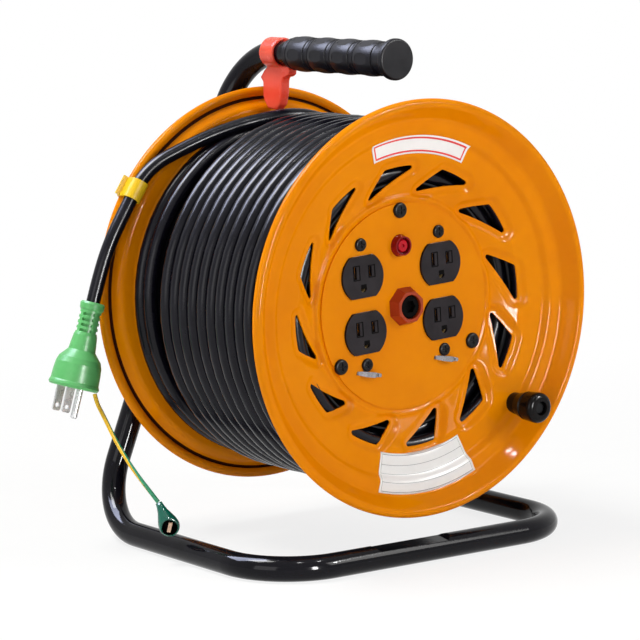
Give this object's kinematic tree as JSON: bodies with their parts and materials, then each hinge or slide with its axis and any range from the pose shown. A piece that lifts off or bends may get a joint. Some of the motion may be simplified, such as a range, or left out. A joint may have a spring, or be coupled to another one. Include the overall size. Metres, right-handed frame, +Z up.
{
  "type": "extension cord reel",
  "caption": "Portable extension cord reel: a steel drum of wound cable with an outlet panel and crank knob, turning on a bent pipe stand with a carrying grip, stopper and grounded plug.",
  "frame": {"origin": "on the floor under the middle of the stand and drum, without the free cord and its plug", "axes": "+Z up, +X to the right seen from the outlet panel, +Y from the outlet panel to the stand's legs, along the axle"},
  "size_m": [0.3331, 0.2372, 0.3582],
  "materials": {
    "enamel_black": "gloss",
    "steel": "satin",
    "black_screws": "satin",
    "grip_rubber": "satin",
    "stopper_plastic": "gloss",
    "clip_plastic": "gloss",
    "cord_jacket": "satin",
    "plug_plastic": "gloss",
    "nickel": "gloss",
    "lead_jacket": "satin",
    "boot_plastic": "gloss",
    "enamel_yellow": "gloss",
    "hub_plastic": "satin",
    "bush_plastic": "matte",
    "outlet_plastic": "satin",
    "brass": "satin",
    "lamp_plastic": "gloss",
    "lamp_glass": "gloss",
    "black_plastic": "gloss",
    "white_plastic": "matte"
  },
  "bodies": {
    "stand": {"frame_pipe_left": "enamel_black", "frame_pipe_right": "enamel_black", "pipe_joint_sleeve": "steel", "axle_bracket": "enamel_black", "axle": "steel", "axle_washer": "steel", "axle_nut": "steel", "axle_spacer": "steel", "end_washer": "steel", "end_screw": "black_screws", "handle_grip": "grip_rubber", "cord_clip": "clip_plastic", "power_cord": "cord_jacket", "plug_body": "plug_plastic", "plug_blades": "nickel", "plug_earth_pin": "nickel", "earth_lead": "lead_jacket", "earth_clip_boot": "boot_plastic", "earth_clip_jaws": "nickel"},
    "drum": {"drum_core_tube": "steel", "outlet_straps": "steel", "crank_pin": "steel", "hub_lock_ring": "steel", "plate_screws": "black_screws", "outlet_screws": "black_screws", "cable_winding": "cord_jacket", "cable_deep_turns": "cord_jacket", "cable_core": "cord_jacket", "earth_saddles": "nickel", "saddle_rivets": "nickel", "front_flange": "enamel_yellow", "rear_flange": "enamel_yellow", "outlet_plate": "enamel_yellow", "hub_bush_front": "hub_plastic", "hub_bush_rear": "bush_plastic", "cable_entry_bush": "bush_plastic", "outlet_left": "outlet_plastic", "outlet_right": "outlet_plastic", "outlet_contacts": "brass", "lamp_bezel": "lamp_plastic", "lamp_lens": "lamp_glass", "crank_collar": "black_plastic", "thermal_cutout": "black_plastic", "lamp_nut": "black_plastic", "terminal_block": "white_plastic"},
    "crank_knob": {"crank_knob": "black_plastic"},
    "stopper": {"stopper": "stopper_plastic"}
  },
  "joints": [
    {"name": "drum_spin", "type": "hinge", "parent": "stand", "child": "drum", "pos_m": [0, -0.00432, 0.17465], "axis": [0, 1, 0], "continuous": true},
    {"name": "knob_spin", "type": "hinge", "parent": "drum", "child": "crank_knob", "pos_m": [0.09091, -0.10333, 0.09802], "axis": [0, 1, 0], "continuous": true},
    {"name": "stopper_swing", "type": "hinge", "parent": "stand", "child": "stopper", "pos_m": [0, 0.06968, 0.34385], "axis": [0, 1, 0], "range_deg": [-90, 90]}
  ]
}
